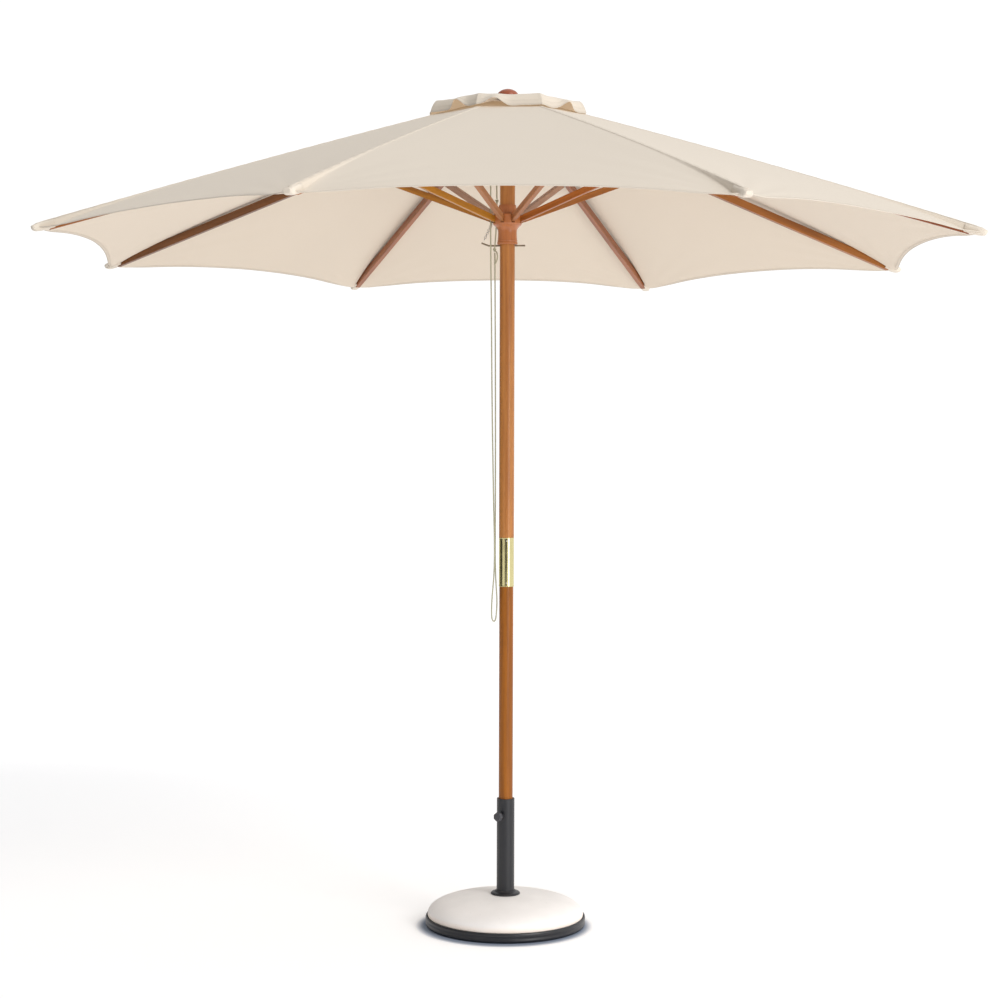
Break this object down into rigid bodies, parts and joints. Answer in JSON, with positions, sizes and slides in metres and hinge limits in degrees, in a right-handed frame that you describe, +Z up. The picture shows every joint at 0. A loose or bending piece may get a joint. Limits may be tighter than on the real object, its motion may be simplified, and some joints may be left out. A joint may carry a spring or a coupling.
{
  "type": "patio umbrella with base",
  "caption": "Octagonal fabric garden umbrella on wooden ribs with a vented top, two-piece wooden pole, hoist cord and a round concrete-filled base.",
  "frame": {"origin": "centre of the base's underside, on the ground", "axes": "+Z up the pole; -Y towards the viewer of the front panel; the hoist cord hangs on the -X side"},
  "size_m": [2.7748, 2.7748, 2.6774],
  "materials": {
    "black_paint": "satin powder coat",
    "concrete": "cast concrete, off-white, density 2700 against a real 2300",
    "plain_steel": "zinc plated",
    "black_plastic": "matte",
    "brass": "polished, lightly aged",
    "screw_steel": "bright",
    "golden_wood": "varnished, golden ochre",
    "red_brown_wood": "varnished, red-brown",
    "turned_wood": "turned and varnished",
    "terracotta_wood": "turned and varnished",
    "beech_dowel": "bare",
    "cast_iron": "black",
    "pulley_plastic": "matte",
    "cream_canvas": "woven canvas",
    "olive_cord": "braided cord",
    "rib_wood": "varnished",
    "strut_wood": "varnished",
    "bracket_steel": "plated"
  },
  "bodies": {
    "base": {"base_tray": "black_paint", "concrete_base": "concrete", "base_collar": "black_paint", "tube_anchor": "plain_steel", "base_tube": "black_paint", "reducer_sleeve": "black_plastic", "clamp_boss": "black_paint"},
    "clamp_pad": {"clamp_pad": "plain_steel"},
    "clamp_knob": {"clamp_knob": "black_plastic", "clamp_screw": "plain_steel"},
    "lower_pole": {"lower_pole": "golden_wood", "pole_ferrule": "brass", "ferrule_screws": "screw_steel"},
    "upper_pole": {"upper_pole": "red_brown_wood", "top_hub": "turned_wood", "top_hub_wire": "plain_steel", "finial": "terracotta_wood", "finial_dowel": "beech_dowel", "pulley_block": "cast_iron", "pulley_axle": "plain_steel", "canopy": "cream_canvas", "vent_cap": "cream_canvas", "tip_pockets": "cream_canvas", "hoist_cord_lift": "olive_cord", "hoist_cord_fall": "olive_cord", "hoist_cord_return": "olive_cord"},
    "pulley_wheel": {"pulley_wheel": "pulley_plastic"},
    "locking_pin": {"locking_pin": "plain_steel", "pin_chain": "plain_steel"},
    "runner": {"runner": "turned_wood", "runner_wire": "plain_steel", "chain_peg": "plain_steel", "runner_cord": "olive_cord"},
    "rib_1": {"rib_1": "rib_wood", "rib_bracket_1": "bracket_steel"},
    "strut_1": {"strut_1": "strut_wood"},
    "rib_2": {"rib_2": "rib_wood", "rib_bracket_2": "bracket_steel"},
    "strut_2": {"strut_2": "strut_wood"},
    "rib_3": {"rib_3": "rib_wood", "rib_bracket_3": "bracket_steel"},
    "strut_3": {"strut_3": "strut_wood"},
    "rib_4": {"rib_4": "rib_wood", "rib_bracket_4": "bracket_steel"},
    "strut_4": {"strut_4": "strut_wood"},
    "rib_5": {"rib_5": "rib_wood", "rib_bracket_5": "bracket_steel"},
    "strut_5": {"strut_5": "strut_wood"},
    "rib_6": {"rib_6": "rib_wood", "rib_bracket_6": "bracket_steel"},
    "strut_6": {"strut_6": "strut_wood"},
    "rib_7": {"rib_7": "rib_wood", "rib_bracket_7": "bracket_steel"},
    "strut_7": {"strut_7": "strut_wood"},
    "rib_8": {"rib_8": "rib_wood", "rib_bracket_8": "bracket_steel"},
    "strut_8": {"strut_8": "strut_wood"}
  },
  "joints": [
    {"name": "pole_lift", "type": "slide", "parent": "base", "child": "lower_pole", "axis": [0, 0, 1], "range_m": [0, 0.39]},
    {"name": "clamp_slide", "type": "slide", "parent": "base", "child": "clamp_pad", "axis": [-0.5, -0.866, 0], "range_m": [0, 0.00376]},
    {"name": "knob_turn", "type": "hinge", "parent": "clamp_pad", "child": "clamp_knob", "pos_m": [-0.025, -0.0433, 0.355], "axis": [-0.5, -0.866, 0], "range_deg": [0, 1080]},
    {"name": "ferrule_lift", "type": "slide", "parent": "lower_pole", "child": "upper_pole", "axis": [0, 0, 1], "range_m": [0, 0.09]},
    {"name": "pulley_spin", "type": "hinge", "parent": "upper_pole", "child": "pulley_wheel", "pos_m": [-0.046, 0, 2.566], "axis": [0, 1, 0], "continuous": true},
    {"name": "pin_pull", "type": "slide", "parent": "upper_pole", "child": "locking_pin", "axis": [-0.9945, 0.1045, 0], "range_m": [0, 0.09], "deforming": ["pin_chain"]},
    {"name": "rib_1_fold", "type": "hinge", "parent": "upper_pole", "child": "rib_1", "pos_m": [0.03696, 0.01531, 2.621], "axis": [0.3827, -0.9239, 0], "range_deg": [-68, 0], "deforming": ["canopy", "vent_cap", "tip_pockets", "hoist_cord_lift", "hoist_cord_fall", "hoist_cord_return", "runner_cord"]},
    {"name": "strut_1_fold", "type": "hinge", "parent": "rib_1", "child": "strut_1", "pos_m": [0.47552, 0.19697, 2.44011], "axis": [0.3827, -0.9239, 0], "range_deg": [0, 136]},
    {"name": "rib_2_fold", "type": "hinge", "parent": "upper_pole", "child": "rib_2", "pos_m": [0.01531, 0.03696, 2.621], "axis": [0.9239, -0.3827, 0], "range_deg": [-68, 0]},
    {"name": "strut_2_fold", "type": "hinge", "parent": "rib_2", "child": "strut_2", "pos_m": [0.19697, 0.47552, 2.44011], "axis": [0.9239, -0.3827, 0], "range_deg": [0, 136]},
    {"name": "rib_3_fold", "type": "hinge", "parent": "upper_pole", "child": "rib_3", "pos_m": [-0.01531, 0.03696, 2.621], "axis": [0.9239, 0.3827, 0], "range_deg": [-68, 0]},
    {"name": "strut_3_fold", "type": "hinge", "parent": "rib_3", "child": "strut_3", "pos_m": [-0.19697, 0.47552, 2.44011], "axis": [0.9239, 0.3827, 0], "range_deg": [0, 136]},
    {"name": "rib_4_fold", "type": "hinge", "parent": "upper_pole", "child": "rib_4", "pos_m": [-0.03696, 0.01531, 2.621], "axis": [0.3827, 0.9239, 0], "range_deg": [-68, 0]},
    {"name": "strut_4_fold", "type": "hinge", "parent": "rib_4", "child": "strut_4", "pos_m": [-0.47552, 0.19697, 2.44011], "axis": [0.3827, 0.9239, 0], "range_deg": [0, 136]},
    {"name": "rib_5_fold", "type": "hinge", "parent": "upper_pole", "child": "rib_5", "pos_m": [-0.03696, -0.01531, 2.621], "axis": [-0.3827, 0.9239, 0], "range_deg": [-68, 0]},
    {"name": "strut_5_fold", "type": "hinge", "parent": "rib_5", "child": "strut_5", "pos_m": [-0.47552, -0.19697, 2.44011], "axis": [-0.3827, 0.9239, 0], "range_deg": [0, 136]},
    {"name": "rib_6_fold", "type": "hinge", "parent": "upper_pole", "child": "rib_6", "pos_m": [-0.01531, -0.03696, 2.621], "axis": [-0.9239, 0.3827, 0], "range_deg": [-68, 0]},
    {"name": "strut_6_fold", "type": "hinge", "parent": "rib_6", "child": "strut_6", "pos_m": [-0.19697, -0.47552, 2.44011], "axis": [-0.9239, 0.3827, 0], "range_deg": [0, 136]},
    {"name": "rib_7_fold", "type": "hinge", "parent": "upper_pole", "child": "rib_7", "pos_m": [0.01531, -0.03696, 2.621], "axis": [-0.9239, -0.3827, 0], "range_deg": [-68, 0]},
    {"name": "strut_7_fold", "type": "hinge", "parent": "rib_7", "child": "strut_7", "pos_m": [0.19697, -0.47552, 2.44011], "axis": [-0.9239, -0.3827, 0], "range_deg": [0, 136]},
    {"name": "rib_8_fold", "type": "hinge", "parent": "upper_pole", "child": "rib_8", "pos_m": [0.03696, -0.01531, 2.621], "axis": [-0.3827, -0.9239, 0], "range_deg": [-68, 0]},
    {"name": "strut_8_fold", "type": "hinge", "parent": "rib_8", "child": "strut_8", "pos_m": [0.47552, -0.19697, 2.44011], "axis": [-0.3827, -0.9239, 0], "range_deg": [0, 136]},
    {"name": "runner_level", "type": "hinge", "parent": "strut_1", "child": "runner", "pos_m": [0.03696, 0.01531, 2.25922], "axis": [0.3827, -0.9239, 0], "range_deg": [-68, 0]}
  ],
  "couplings": [
    {"joint": "clamp_slide", "follows": "knob_turn", "m_per_rad": 0.00019894},
    {"joint": "strut_1_fold", "follows": "rib_1_fold", "ratio": -2},
    {"joint": "rib_2_fold", "follows": "rib_1_fold", "ratio": 1},
    {"joint": "strut_2_fold", "follows": "rib_1_fold", "ratio": -2},
    {"joint": "rib_3_fold", "follows": "rib_1_fold", "ratio": 1},
    {"joint": "strut_3_fold", "follows": "rib_1_fold", "ratio": -2},
    {"joint": "rib_4_fold", "follows": "rib_1_fold", "ratio": 1},
    {"joint": "strut_4_fold", "follows": "rib_1_fold", "ratio": -2},
    {"joint": "rib_5_fold", "follows": "rib_1_fold", "ratio": 1},
    {"joint": "strut_5_fold", "follows": "rib_1_fold", "ratio": -2},
    {"joint": "rib_6_fold", "follows": "rib_1_fold", "ratio": 1},
    {"joint": "strut_6_fold", "follows": "rib_1_fold", "ratio": -2},
    {"joint": "rib_7_fold", "follows": "rib_1_fold", "ratio": 1},
    {"joint": "strut_7_fold", "follows": "rib_1_fold", "ratio": -2},
    {"joint": "rib_8_fold", "follows": "rib_1_fold", "ratio": 1},
    {"joint": "strut_8_fold", "follows": "rib_1_fold", "ratio": -2},
    {"joint": "runner_level", "follows": "rib_1_fold", "ratio": 1}
  ]
}
